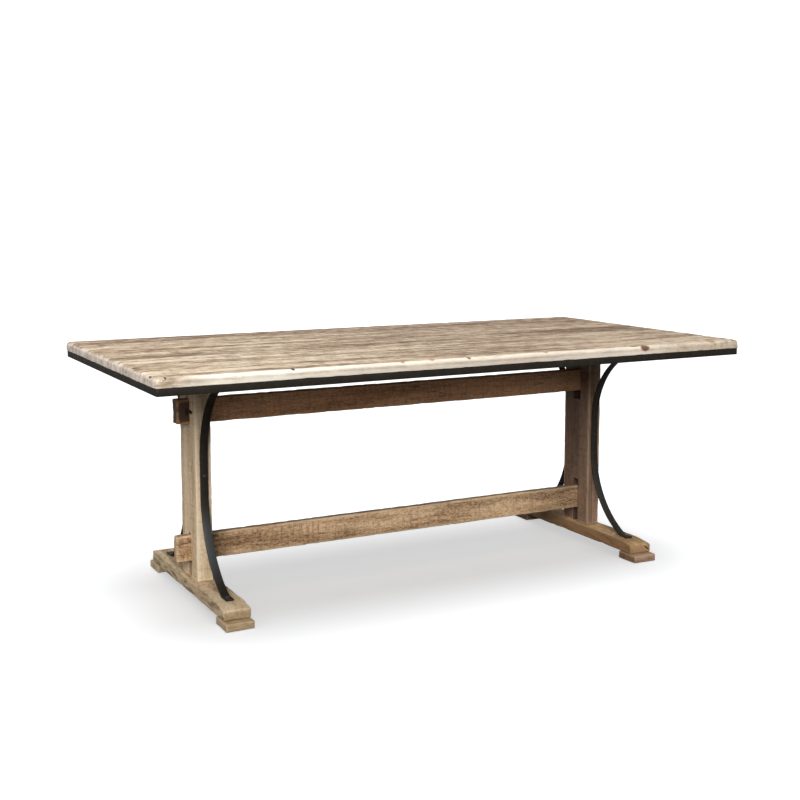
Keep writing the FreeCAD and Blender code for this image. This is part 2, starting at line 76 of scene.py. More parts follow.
# Trestles
BEARER_END_HEIGHT = 0.020
BEARER_BEVEL_LENGTH = 0.075
POST_ARRIS = 0.003
UPPER_MORTISE_GAP = 0.032
LOWER_MORTISE_GAP = 0.022
LOWER_OUTER_GAP = 0.004
JOINT_CLEARANCE = 0.0002
FOOT_END_HEIGHT = 0.029
FOOT_BEVEL_LENGTH = 0.062
FOOT_RIDGE_EASE = 0.030
FOOT_NOSE_EASE = 0.007
FOOT_ARRIS = 0.004
PAD_ARRIS = 0.0035
STRETCHER_ARRIS = 0.003
PEG_RIM = 0.0008

# Steps between the slices of a blank along each axis, in the order of the cuts
PLANK_STEPS = {Y: 0.012}
BEARER_STEPS = {Y: 0.020, X: 0.015}
POST_STEPS = {Z: 0.010, Y: 0.012, X: 0.012}
FOOT_STEPS = {Y: 0.010, X: 0.010, Z: 0.012}
PAD_STEPS = {X: 0.008, Y: 0.008, Z: 0.008}
STRETCHER_STEPS = {Z: 0.010, Y: 0.010}
PEG_STEPS = {Y: 0.012}
# Cuts along the length of a blank, first coarse and then fine
PLANK_CUTS = (9, 14)
STRETCHER_CUTS = (10, 14)

# Drying cracks: place, then size as length, depth and width, then slope in degrees
UPPER_CRACKS = (((-0.761, -0.021, 0.584), (0.024, 0.010, 0.0028), -61),)
LOWER_CRACKS = (
    ((-0.776, -0.014, 0.173), (0.044, 0.010, 0.0028), -6),
    ((-0.760, -0.014, 0.1535), (0.014, 0.010, 0.0028), 0),
)
# The same for one crack each in the left post's outer face and the right foot's nose, placed within that face
POST_CRACK = ((-0.0315, 0.5835), (0.040, 0.010, 0.0032), -22)
FOOT_CRACK = ((0.7545, 0.041), (0.036, 0.030, 0.0055), 38)
# Narrowing of a crack, and the share of its half length beyond which it starts
CRACK_TAPERS = ((0.5, 0.45), (0.25, 0.9))

# Wear of the wood: depth on the flats, sizes of its patches, and how much of the surface they take
FLAT_WEAR = 0.0006
FLAT_PATCH = 0.09
ARRIS_PATCH = 0.06
CHIP_PATCH = 0.028
EVEN_PATCHES = (0.25, 0.75)
SPARSE_PATCHES = (0.56, 0.72)

# Screws
SCREW_HEAD_RADIUS = 0.0045
SCREW_HEAD_HEIGHT = 0.0026
SCREW_SHANK_RADIUS = 0.002
SCREW_DOME_SHARE = 0.6
SCREW_RIM_SHARE = 0.2
SCREW_RECESS_SHARE = 0.5
SCREW_RECESS_TAPER = 0.7
SCREW_STRAIGHT_SHARE = 0.8
SCREW_TIP_TAPER = 0.15


# Modelling by hand
def open_edit(piece):
    """Open a piece in edit mode with nothing selected."""
    bpy.ops.object.select_all(action="DESELECT")
    bpy.context.view_layer.objects.active = piece
    piece.select_set(True)
    bpy.ops.object.mode_set(mode="EDIT")
    bpy.ops.mesh.select_all(action="DESELECT")


def close_edit():
    bpy.ops.object.mode_set(mode="OBJECT")


def select(piece, kind, test):
    """Select the vertices, edges or faces of the open piece that pass a test."""
    bpy.ops.mesh.select_mode(type=kind)
    bpy.ops.mesh.select_all(action="DESELECT")
    cage = bmesh.from_edit_mesh(piece.data)
    items = {"VERT": cage.verts, "EDGE": cage.edges, "FACE": cage.faces}[kind]
    for item in [item for item in items if test(item)]:
        item.select_set(True)
    cage.select_flush_mode()
    bmesh.update_edit_mesh(piece.data)


def middle(item):
    """Find the middle of an edge or a face."""
    places = [vert.co for vert in item.verts]
    return sum(places, Vector()) / len(places)


def same(first, second):
    return abs(first - second) < SAME_PLACE


def runs_along(edge, axis):
    way = edge.verts[1].co - edge.verts[0].co
    return abs(way[axis]) > 0.999 * way.length


def block(name, low, high):
    """Start a piece as a box between two corners, with its place in its mesh."""
    bpy.ops.object.select_all(action="DESELECT")
    bpy.ops.mesh.primitive_cube_add(size=1, location=(low + high) / 2, scale=high - low)
    piece = bpy.context.object
    piece.name = name
    piece.data.name = name
    bpy.ops.object.transform_apply(location=True, rotation=True, scale=True)
    return piece


def slice_at(piece, axis, places):
    """Cut the open piece right through at places along an axis."""
    normal = Vector((0, 0, 0))
    normal[axis] = 1
    for place in places:
        bpy.ops.mesh.select_all(action="SELECT")
        bpy.ops.mesh.bisect(plane_co=normal * float(place), plane_no=normal)


def spread(low, high, step):
    """Give evenly spaced places between two ends, about a step apart."""
    count = max(1, round((high - low) / step))
    return [low + (high - low) * part / count for part in range(1, count)]


def slice_up(piece, low, high, steps):
    """Cut the open piece into even slices, with a step for each axis."""
    for axis, step in steps.items():
        slice_at(piece, axis, spread(low[axis], high[axis], step))


def divide_length(piece, cuts, reach=math.inf):
    """Subdivide the edges along the table, within a reach of its middle."""
    for count in cuts:
        select(piece, "EDGE", lambda edge: runs_along(edge, X) and abs(middle(edge).x) < reach)
        bpy.ops.mesh.subdivide(number_cuts=count)


def trim(piece, point, outward):
    """Saw the open piece through at a point and drop what lies outward."""
    bpy.ops.mesh.select_all(action="SELECT")
    bpy.ops.mesh.bisect(plane_co=point, plane_no=outward, clear_outer=True, use_fill=True)


def apply(piece, modifier):
    bpy.context.view_layer.objects.active = piece
    bpy.ops.object.modifier_apply(modifier=modifier.name)


def cut(piece, cutter):
    """Take a cutter's shape out of a piece and drop the cutter."""
    taking = piece.modifiers.new("cut", "BOOLEAN")
    taking.operation = "DIFFERENCE"
    taking.solver = "EXACT"
    taking.object = cutter
    apply(piece, taking)
    bpy.data.objects.remove(cutter, do_unlink=True)


def ease(piece, width, segments=2, angle=30):
    """Round over every sharp edge of a finished shape."""
    rounding = piece.modifiers.new("ease", "BEVEL")
    rounding.width = width
    rounding.segments = segments
    rounding.limit_method = "ANGLE"
    rounding.angle_limit = math.radians(angle)
    apply(piece, rounding)


def smooth(piece, angle=40):
    bpy.ops.object.select_all(action="DESELECT")
    piece.select_set(True)
    bpy.context.view_layer.objects.active = piece
    bpy.ops.object.shade_smooth_by_angle(angle=math.radians(angle))


def settle(piece, node, material):
    """Put a finished piece in a node's place, with its finish."""
    piece.data.materials.clear()
    piece.data.materials.append(material)
    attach(piece, "root")
    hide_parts(node)


# Wear of the wood
def flat_faces(piece):
    """Keep the faces of a plain blank as places and outward normals."""
    return [(np.array(face.center), np.array(face.normal)) for face in piece.data.polygons]


def places_of(piece):
    places = np.empty(len(piece.data.vertices) * 3)
    piece.data.vertices.foreach_get("co", places)
    return places.reshape(-1, 3)


def arris_weights(piece, faces, reach):
    """Weigh each vertex by its nearness to an arris of the blank: 1 on it, 0 at the reach."""
    places = places_of(piece)
    gaps = np.sort([np.abs((places - point) @ normal) for point, normal in faces], axis=0)
    return np.clip(1 - gaps[1] / reach, 0, 1)


def mark_arrises(piece, faces, reach):
    """Keep the nearness to an arris as a vertex group for shaping and an attribute for the finish."""
    weights = arris_weights(piece, faces, reach)
    group = piece.vertex_groups.new(name="arris")
    for index in np.nonzero(weights)[0]:
        group.add([int(index)], float(weights[index]), "REPLACE")
    layer = piece.data.attributes.new("edge", "FLOAT", "POINT")
    layer.data.foreach_set("value", weights)


def sink(piece, role, size, depth, group="", sparse=False):
    """Wear the surface unevenly below the blank, in patches of a size and up to a depth."""
    patches = bpy.data.textures.new(f"{piece.name}_{role}", "CLOUDS")
    patches.noise_scale = size
    patches.noise_depth = 2
    patches.use_color_ramp = True
    shallow, deep = patches.color_ramp.elements
    shallow.position, deep.position = SPARSE_PATCHES if sparse else EVEN_PATCHES
    shallow.color = (1, 1, 1, 1)
    deep.color = (0, 0, 0, 1)
    hollow = piece.modifiers.new(role, "DISPLACE")
    hollow.texture = patches
    hollow.texture_coords = "LOCAL"
    hollow.strength = depth
    hollow.mid_level = 1
    hollow.vertex_group = group
    apply(piece, hollow)


def keep_inside(piece, low, high):
    """Hold a worn piece within the box of its blank."""
    places = np.clip(places_of(piece), np.array(low), np.array(high))
    piece.data.vertices.foreach_set("co", places.ravel())
    piece.data.update()


def weather(piece, faces, low, high, reach=0.012, arris=0.0010, chips=0.0016):
    """Wear a sliced blank: uneven flats, wavering arrises and a few chips along them."""
    mark_arrises(piece, faces, reach)
    sink(piece, "flats", FLAT_PATCH, FLAT_WEAR)
    sink(piece, "arris", ARRIS_PATCH, arris, group="arris")
    sink(piece, "chips", CHIP_PATCH, chips, group="arris", sparse=True)
    keep_inside(piece, low, high)
    smooth(piece)


# Shading
def shade(red, green, blue):
    """Turn a colour from 0 to 255 as seen on screen into the linear one that shaders use."""
    levels = [part / 255 for part in (red, green, blue)]
    linear = [level / 12.92 if level <= 0.04045 else ((level + 0.055) / 1.055) ** 2.4 for level in levels]
    return (*linear, 1.0)


def feed(tree, socket, value):
    """Link a socket into another, or set its plain value."""
    if isinstance(value, bpy.types.NodeSocket):
        tree.links.new(value, socket)
    else:
        socket.default_value = value


def calc(tree, operation, *values):
    made = tree.nodes.new("ShaderNodeMath")
    made.operation = operation
    for socket, value in zip(made.inputs, values):
        feed(tree, socket, value)
    return made.outputs[0]


def times(tree, first, second):
    return calc(tree, "MULTIPLY", first, second)


def ramp(tree, value, low, high, start=0.0, end=1.0):
    """Carry a value smoothly from one range to another."""
    made = tree.nodes.new("ShaderNodeMapRange")
    made.interpolation_type = "SMOOTHSTEP"
    names = ("Value", "From Min", "From Max", "To Min", "To Max")
    for name, item in zip(names, (value, low, high, start, end)):
        feed(tree, made.inputs[name], item)
    return made.outputs[0]


def mix(tree, factor, first, second, how="MIX"):
    made = tree.nodes.new("ShaderNodeMix")
    made.data_type = "RGBA"
    made.blend_type = how
    for index, value in ((0, factor), (6, first), (7, second)):
        feed(tree, made.inputs[index], value)
    return made.outputs[2]


def stretch(tree, vector, scale):
    made = tree.nodes.new("ShaderNodeVectorMath")
    made.operation = "MULTIPLY"
    feed(tree, made.inputs[0], vector)
    feed(tree, made.inputs[1], scale)
    return made.outputs[0]


def noise(tree, vector, seed, detail=2.0, rough=0.5, bend=0.0):
    made = tree.nodes.new("ShaderNodeTexNoise")
    made.noise_dimensions = "4D"
    values = {
        "Vector": vector, "W": seed, "Scale": 1.0,
        "Detail": detail, "Roughness": rough, "Distortion": bend,
    }
    for name, value in values.items():
        feed(tree, made.inputs[name], value)
    return made.outputs[0]


def add_bump(tree, shader, height, strength, distance):
    bump = tree.nodes.new("ShaderNodeBump")
    bump.inputs["Strength"].default_value = strength
    bump.inputs["Distance"].default_value = distance
    tree.links.new(height, bump.inputs["Height"])
    tree.links.new(bump.outputs["Normal"], shader.inputs["Normal"])


def new_group(name, inputs, outputs):
    """Start a shader node group and give its tree, what comes in and what goes out."""
    group = bpy.data.node_groups.new(name, "ShaderNodeTree")
    for label, kind in inputs.items():
        group.interface.new_socket(label, in_out="INPUT", socket_type=f"NodeSocket{kind}")
    for label in outputs:
        group.interface.new_socket(label, in_out="OUTPUT", socket_type="NodeSocketFloat")
    return group, group.nodes.new("NodeGroupInput").outputs, group.nodes.new("NodeGroupOutput").inputs


def use_group(tree, group, **values):
    made = tree.nodes.new("ShaderNodeGroup")
    made.node_tree = group
    for name, value in values.items():
        feed(tree, made.inputs[name], value)
    return made.outputs


def make_wood_grain():
    """Figure of the wood along X, from broad streaks down to pores, with drying checks."""
    group, given, result = new_group(
        "wood_grain",
        {"Vector": "Vector", "Seed": "Float", "Streaking": "Vector", "Mottling": "Vector"},
        ["Streaks", "Mottle", "Fibres", "Ticks", "Pores", "Checks", "Tint", "Rings"],
    )

    def figure(name, scale, low, high, **values):
        made = noise(group, stretch(group, given["Vector"], scale), given["Seed"], **values)
        feed(group, result[name], ramp(group, made, low, high))

    figure("Streaks", given["Streaking"], 0.34, 0.68, detail=4, rough=0.55, bend=0.3)
    figure("Mottle", given["Mottling"], 0.34, 0.66, detail=3, rough=0.7)
    figure("Fibres", (16, 290, 290), 0.32, 0.68, detail=3, rough=0.65)
    figure("Ticks", (44, 85, 85), 0.6, 0.68, detail=2)
    figure("Pores", (45, 1150, 1150), 0.58, 0.72, detail=1)
    figure("Tint", (2.6, 15, 15), 0.36, 0.64, detail=3)
    figure("Rings", (5, 34, 12), 0.38, 0.6, detail=3, rough=0.6)
    parting = noise(group, stretch(group, given["Vector"], (2.4, 46, 46)), given["Seed"], detail=3)
    off_line = calc(group, "ABSOLUTE", calc(group, "SUBTRACT", parting, 0.5))
    thin = ramp(group, off_line, 0.0, 0.014, 1.0, 0.0)
    where = noise(group, stretch(group, given["Vector"], (3.5, 9, 9)), given["Seed"], detail=2)
    feed(group, result["Checks"], times(group, thin, ramp(group, where, 0.52, 0.62)))
    return group


def make_saw_marks():
    """Uneven marks of the saw, square to the grain along X, in patches."""
    group, given, result = new_group("saw_marks", {"Vector": "Vector", "Seed": "Float"}, ["Marks"])
    along = given["Vector"]
    seed = given["Seed"]
    lines = noise(group, stretch(group, along, (150, 15, 15)), seed, detail=3, rough=0.6)
    patches = noise(group, stretch(group, along, (5, 11, 11)), seed, detail=2)
    marks = ramp(group, lines, 0.5, 0.66)
    feed(group, result["Marks"], times(group, marks, ramp(group, patches, 0.38, 0.6, 0.3, 1.0)))
    return group


def make_edge_wear():
    """Broken mask of the rubbed arrises."""
    group, given, result = new_group(
        "edge_wear", {"Vector": "Vector", "Seed": "Float", "Least": "Float"}, ["Wear"]
    )
    nearness = group.nodes.new("ShaderNodeAttribute")
    nearness.attribute_name = "edge"
    broken = noise(group, stretch(group, given["Vector"], (14, 70, 70)), given["Seed"], detail=4, rough=0.65)
    rubbed = ramp(group, nearness.outputs["Fac"], 0.1, 0.8)
    share = ramp(group, broken, 0.34, 0.58, given["Least"], 1.0)
    feed(group, result["Wear"], times(group, rubbed, share))
    return group


WOOD_GRAIN = make_wood_grain()
SAW_MARKS = make_saw_marks()
EDGE_WEAR = make_edge_wear()
GRAIN_TURNS = {"X": (0, 0, 0), "Y": (0, 0, math.radians(-90)), "Z": (0, math.radians(90), 0)}
GRAIN_AXES = {"X": (1, 0, 0), "Y": (0, 1, 0), "Z": (0, 0, 1)}


def new_material(name):
    material = bpy.data.materials.new(name)
    material.use_nodes = True
    tree = material.node_tree
    return material, tree, tree.nodes["Principled BSDF"]


def facing(tree, axis):
    """Measure how squarely the surface faces along an axis."""
    surface = tree.nodes.new("ShaderNodeNewGeometry")
    turned = tree.nodes.new("ShaderNodeVectorMath")
    turned.operation = "DOT_PRODUCT"
    tree.links.new(surface.outputs["Normal"], turned.inputs[0])
    turned.inputs[1].default_value = axis
    return calc(tree, "ABSOLUTE", turned.outputs["Value"])


def place_along(tree, coords, axis):
    """Read one coordinate of the place on the object."""
    parts = tree.nodes.new("ShaderNodeSeparateXYZ")
    tree.links.new(coords, parts.inputs["Vector"])
    return parts.outputs[axis]


STAIN_RAGGED = 0.7
STAIN_RIM = (0.95, 1.4)


def stain_mask(tree, coords, place, reach):
    """Mask a knot, a nail hole or a stain, ragged at its rim."""
    gap = tree.nodes.new("ShaderNodeVectorMath")
    gap.operation = "SUBTRACT"
    tree.links.new(coords, gap.inputs[0])
    gap.inputs[1].default_value = place
    ragged = noise(tree, stretch(tree, coords, (160, 160, 160)), seed=2.0, detail=2)
    length = tree.nodes.new("ShaderNodeVectorMath")
    length.operation = "LENGTH"
    tree.links.new(stretch(tree, gap.outputs[0], [1 / size for size in reach]), length.inputs[0])
    rim = calc(tree, "MULTIPLY_ADD", ragged, STAIN_RAGGED, length.outputs["Value"])
    return ramp(tree, rim, *STAIN_RIM, 1.0, 0.0)


# Dry wood: shares of the figure in its colour, then roughness and relief
FIBRE_SHARE = 0.3
LIGHT_TO_MID = (0.05, 0.55)
MID_TO_DARK = (0.45, 1.0)
TINT_SHARE = 0.6
WARM_TINT = (1.0, 0.9, 0.83, 1)
END_GRAIN_TURN = (0.55, 0.85)
END_GRAIN_SHARE = 0.7
RING_SHARE = 0.38
PORE_SHARE = 0.3
RUBBED_STREAK_SHARE = 0.28
BARED_SIDE = 0.85
BARED_END = 0.35
WOOD_ROUGHNESS = 0.62
SAW_DULLING = 0.12
WEAR_POLISH = -0.08
FIBRE_RELIEF = 0.35
SAW_RELIEF = -0.8
PORE_RELIEF = -0.5
CHECK_RELIEF = -0.9
WOOD_BUMP = {"strength": 0.6, "distance": 0.0008}


def wood(
    name, tones, worn, end, grain, seed,
    bias=0.0, streak=0.6, streaking=(3.2, 27, 27), mottle=0.4, mottling=(60, 130, 130),
    saw=0.4, ticks=0.0, checks=0.6, least_wear=0.3, deeper=None, spared=None, painted_shading=None, stains=(),
):
    """Dry sawn wood: three tones along the grain, saw marks, checks, rubbed arrises and end grain."""
    material, tree, shader = new_material(name)
    light, mid, dark = tones
    coords = tree.nodes.new("ShaderNodeTexCoord").outputs["Object"]
    turn = tree.nodes.new("ShaderNodeMapping")
    turn.inputs["Rotation"].default_value = GRAIN_TURNS[grain]
    tree.links.new(coords, turn.inputs["Vector"])
    along = turn.outputs["Vector"]
    figure = use_group(tree, WOOD_GRAIN, Vector=along, Seed=seed, Streaking=streaking, Mottling=mottling)
    marks = use_group(tree, SAW_MARKS, Vector=along, Seed=seed)["Marks"]
    wear = use_group(tree, EDGE_WEAR, Vector=along, Seed=seed, Least=least_wear)["Wear"]
    if spared:
        wear = times(tree, wear, spared(tree, coords))

    depth = bias - mottle / 2
    deepened = ((figure["Streaks"], streak), (figure["Mottle"], mottle), (figure["Fibres"], FIBRE_SHARE))
    for mask, share in deepened:
        depth = calc(tree, "MULTIPLY_ADD", mask, share, depth)
    if deeper:
        depth = calc(tree, "ADD", depth, deeper(tree, coords))
    colour = mix(tree, ramp(tree, depth, *LIGHT_TO_MID), light, mid)
    colour = mix(tree, ramp(tree, depth, *MID_TO_DARK), colour, dark)
    colour = mix(tree, times(tree, figure["Tint"], TINT_SHARE), colour, WARM_TINT, how="MULTIPLY")
    cross = ramp(tree, facing(tree, GRAIN_AXES[grain]), *END_GRAIN_TURN)
    end_grain = mix(tree, times(tree, figure["Rings"], RING_SHARE), end, dark)
    colour = mix(tree, times(tree, cross, END_GRAIN_SHARE), colour, end_grain)
    darkened = (
        (figure["Pores"], PORE_SHARE),
        (marks, saw),
        (figure["Checks"], checks),
        (figure["Ticks"], ticks),
    )
    for mask, share in darkened:
        colour = mix(tree, times(tree, mask, share), colour, dark)
    rubbed = mix(tree, times(tree, figure["Streaks"], RUBBED_STREAK_SHARE), worn, mid)
    bared = calc(tree, "MULTIPLY_ADD", cross, BARED_END - BARED_SIDE, BARED_SIDE)
    colour = mix(tree, times(tree, wear, bared), colour, rubbed)
    # Painted light and shade along the piece, multiplied into its colour
    if painted_shading:
        colour = mix(tree, 1.0, colour, painted_shading(tree, coords), how="MULTIPLY")
    for place, reach, stain in stains:
        colour = mix(tree, stain_mask(tree, coords, place, reach), colour, stain)
    feed(tree, shader.inputs["Base Color"], colour)

    dulled = calc(tree, "MULTIPLY_ADD", marks, SAW_DULLING, WOOD_ROUGHNESS)
    feed(tree, shader.inputs["Roughness"], calc(tree, "MULTIPLY_ADD", wear, WEAR_POLISH, dulled))
    height = times(tree, figure["Fibres"], FIBRE_RELIEF)
    sunk = ((marks, SAW_RELIEF), (figure["Pores"], PORE_RELIEF), (figure["Checks"], CHECK_RELIEF))
    for mask, relief in sunk:
        height = calc(tree, "MULTIPLY_ADD", mask, relief, height)
    add_bump(tree, shader, height, **WOOD_BUMP)
    return material


# Blackened iron: where a grey sheen is painted on, as the upward turn of its face and the place along the
# table
SHEEN_BEGINS = (0.08, 0.4)
SHEEN_ENDS = (0.6, 0.9)
SHEEN_FADES = (0.5, 0.7)
SHEEN_LEFT_OVER = 0.2
PAINTED_SHEEN = shade(58, 61, 63)
WARM_SHEEN = (1.0, 0.88, 0.74, 1)
IRON_BUMP = {"strength": 0.25, "distance": 0.0004}


def black_iron(name, tone, bare, rough):
    """Blackened iron with mill scale, and a painted grey sheen where a bend faces up, weaker on the right."""
    material, tree, shader = new_material(name)
    coords = tree.nodes.new("ShaderNodeTexCoord").outputs["Object"]
    scale = noise(tree, stretch(tree, coords, (38, 38, 38)), seed=3.0, detail=5, rough=0.65)
    grit = noise(tree, stretch(tree, coords, (420, 420, 420)), seed=5.0, detail=2)
    up = place_along(tree, tree.nodes.new("ShaderNodeNewGeometry").outputs["Normal"], "Z")
    # Painted sheen: a grey highlight where the face turns up, fading out towards the right trestle
    rubbed = times(tree, ramp(tree, up, *SHEEN_BEGINS), ramp(tree, up, *SHEEN_ENDS, 1.0, 0.0))
    kept = ramp(tree, place_along(tree, coords, "X"), *SHEEN_FADES, 1.0, SHEEN_LEFT_OVER)
    colour = mix(tree, ramp(tree, scale, 0.42, 0.7), tone, bare)
    feed(tree, shader.inputs["Base Color"], mix(tree, times(tree, rubbed, kept), colour, PAINTED_SHEEN))
    feed(tree, shader.inputs["Roughness"], ramp(tree, scale, 0.3, 0.7, rough + 0.1, rough - 0.06))
    shader.inputs["Specular IOR Level"].default_value = 0.5
    shader.inputs["Specular Tint"].default_value = WARM_SHEEN
    add_bump(tree, shader, grit, **IRON_BUMP)
    return material


TOP_TONES = (shade(204, 189, 166), shade(168, 147, 123), shade(104, 80, 61))
# Darkness of each board from the front
PLANK_BIASES = (-0.05, 0.08, -0.03, 0.22, 0.04, 0.20, 0.30)
KNOT_BROWN = shade(108, 74, 52)
KNOT_DARK = shade(52, 36, 26)
TAN_STAIN = shade(164, 128, 94)
# Stains of the boards: place, reach and colour
TOP_STAINS = {
    1: (
        ((0.603, -0.493, 0.752), (0.021, 0.016, 0.013), KNOT_BROWN),
        ((0.570, -0.487, 0.759), (0.024, 0.005, 0.006), KNOT_BROWN),
        ((-0.610, -0.488, 0.758), (0.007, 0.010, 0.006), KNOT_DARK),
        ((-0.994, -0.440, 0.755), (0.004, 0.011, 0.006), KNOT_DARK),
        ((-0.985, -0.488, 0.752), (0.006, 0.010, 0.007), KNOT_BROWN),
        ((-0.970, -0.488, 0.757), (0.005, 0.009, 0.005), KNOT_DARK),
        ((-0.270, -0.489, 0.757), (0.008, 0.008, 0.006), TAN_STAIN),
        ((-0.172, -0.486, 0.758), (0.013, 0.008, 0.006), TAN_STAIN),
        ((-0.050, -0.490, 0.756), (0.009, 0.008, 0.007), KNOT_BROWN),
        ((0.225, -0.486, 0.758), (0.012, 0.008, 0.006), TAN_STAIN),
        ((0.884, -0.482, 0.758), (0.024, 0.020, 0.008), TAN_STAIN),
        ((0.975, -0.487, 0.758), (0.006, 0.010, 0.005), KNOT_BROWN),
    ),
    2: (((-0.983, -0.271, 0.759), (0.012, 0.014, 0.007), KNOT_BROWN),),
    PLANK_COUNT: (((0.0, 0.497, 0.757), (4.0, 0.016, 0.016), shade(138, 129, 118)),),
}
# Painted light and shade that the boards fade to, lighter to the left and darker to the right, and stretches
# over which they fade and the rubbing dies out
PAINTED_LIGHT_LEFT = (1.29, 1.36, 1.39, 1)
PAINTED_SHADE_RIGHT = (0.88, 0.88, 0.88, 1)
PAINTED_LIGHT_STRETCH = (-1.15, 0.6)
LEFT_END_STRETCH = (-0.985, -0.840)
RIGHT_END_STRETCH = (0.580, 0.800)
RIGHT_TIP_STRETCH = (0.965, 0.985)


def painted_light_to_left(tree, coords):
    """Paint light onto the boards towards the left end and shade towards the right."""
    return mix(tree, ramp(tree, place_along(tree, coords, "X"), *PAINTED_LIGHT_STRETCH), PAINTED_LIGHT_LEFT, PAINTED_SHADE_RIGHT)


def ends_spared(tree, coords):
    """Rub the boards less towards their ends, and beyond the chip."""
    along = place_along(tree, coords, "X")
    left = ramp(tree, along, *LEFT_END_STRETCH, 0.05, 1.0)
    right = ramp(tree, along, *RIGHT_END_STRETCH, 1.0, 0.28)
    tip = ramp(tree, along, *RIGHT_TIP_STRETCH, 1.0, 0.2)
    return times(tree, times(tree, left, right), tip)


def plank_material(number):
    # The pale worn tone on the boards' arrises is rubbed wood, and on the front round-over partly a painted
    # highlight
    return wood(
        f"worn_board_{number}",
        TOP_TONES,
        worn=shade(245, 233, 216), end=shade(212, 198, 187), grain="X", seed=3.7 * number,
        bias=PLANK_BIASES[number - 1], streak=0.62, streaking=(1.9, 24, 24),
        mottle=0.5, mottling=(20, 42, 42), ticks=0.6, saw=0.5, least_wear=0.85,
        spared=ends_spared, painted_shading=painted_light_to_left, stains=TOP_STAINS.get(number, ()),
    )


# Posts glued up from boards, and stretches along rails and feet over which their tone changes, by painted
# shade on the left stub, near the posts and towards the back
GLUE_LINE = 0.0008
MORTISE_HALF = 0.0225
POST_PLACE = 0.728
POST_INSIDE = 0.0235
FRONT_BOARD = -0.021
LEFT_STUB_STRETCH = (-0.756, -0.748)
LEFT_POST_STRETCH = (-0.70, -0.48)
RIGHT_POST_STRETCH = (0.40, 0.70)
BACK_STRETCH = (0.0, 0.25)


def laid_up_post(darker, seam=None):
    """Tell apart the boards that a post is glued up from, and paint shade inside its mortises."""

    def deeper(tree, coords):
        along = place_along(tree, coords, "X")
        across = place_along(tree, coords, "Y")
        depth = ramp(tree, across, FRONT_BOARD - GLUE_LINE, FRONT_BOARD + GLUE_LINE, 0.0, darker)
        # Painted shade inside the mortises: darker where a face lies within a slot
        aside = calc(tree, "ABSOLUTE", calc(tree, "SUBTRACT", calc(tree, "ABSOLUTE", along), POST_PLACE))
        buried = ramp(tree, aside, POST_INSIDE - GLUE_LINE, POST_INSIDE, 1.0, 0.0)
        inside = ramp(tree, calc(tree, "ABSOLUTE", across), MORTISE_HALF, MORTISE_HALF + GLUE_LINE, 1.0, 0.0)
        depth = calc(tree, "MULTIPLY_ADD", inside, buried, depth)
        if seam is not None:
            off_side = ramp(tree, facing(tree, GRAIN_AXES["X"]), 0.3, 0.6, 1.0, 0.0)
            past = calc(tree, "SUBTRACT", along, seam)
            lighter = ramp(tree, past, 0.0, GLUE_LINE, 0.0, -0.3)
            joint = ramp(tree, calc(tree, "ABSOLUTE", past), 0.0, 2 * GLUE_LINE, 0.8, 0.0)
            depth = calc(tree, "MULTIPLY_ADD", off_side, calc(tree, "ADD", lighter, joint), depth)
        return depth

    return deeper


def painted_flank_shade(amount, axis="X"):
    """Paint shade on the faces that look along an axis."""
    return lambda tree, coords: times(tree, facing(tree, GRAIN_AXES[axis]), amount)


def painted_shade_left_end(tree, coords):
    """Paint shade on the end that stands out of the left post, under the top."""
    return ramp(tree, place_along(tree, coords, "X"), *LEFT_STUB_STRETCH, 1.1, 0.0)


def painted_shade_by_posts(left, right):
    """Paint shade on a rail where it comes near the posts."""

    def painted_shading(tree, coords):
        along = place_along(tree, coords, "X")
        near_left = ramp(tree, along, *LEFT_POST_STRETCH, left, 1.0)
        return times(tree, near_left, ramp(tree, along, *RIGHT_POST_STRETCH, 1.0, right))

    return painted_shading


def painted_shade_to_back(flanks, back):
    """Paint shade on the flanks, and on the whole piece towards the back."""

    def deeper(tree, coords):
        behind = ramp(tree, place_along(tree, coords, "Y"), *BACK_STRETCH, 0.0, back)
        return calc(tree, "ADD", behind, painted_flank_shade(flanks)(tree, coords))

    return deeper


# Near-black painted shade inside the splits at the joints, laid over the cut cracks
SPLIT_SHADE = shade(38, 24, 16)
POST_WOOD = {
    "left": wood(
        "post_wood_left",
        (shade(230, 208, 177), shade(204, 181, 148), shade(144, 119, 90)),
        worn=shade(236, 216, 184), end=shade(171, 138, 103), grain="Z", seed=41.0, bias=0.02,
        streak=0.45, mottle=0.3, deeper=laid_up_post(0.04),
        stains=(((-0.753, -0.031, 0.584), (0.006, 0.024, 0.007), SPLIT_SHADE),),
    ),
    "right": wood(
        "post_wood_right",
        (shade(140, 112, 90), shade(112, 87, 69), shade(72, 53, 41)),
        worn=shade(172, 146, 116), end=shade(94, 70, 52), grain="Z", seed=57.0, bias=0.02,
        streak=0.28, mottle=0.2, mottling=(40, 70, 70), deeper=laid_up_post(0.25, seam=0.724),
    ),
}
BEARER_WOOD = wood(
    "bearer_wood",
    (shade(150, 122, 96), shade(112, 87, 66), shade(74, 54, 40)),
    worn=shade(170, 140, 108), end=shade(120, 94, 72), grain="Y", seed=23.0, bias=0.1,
)
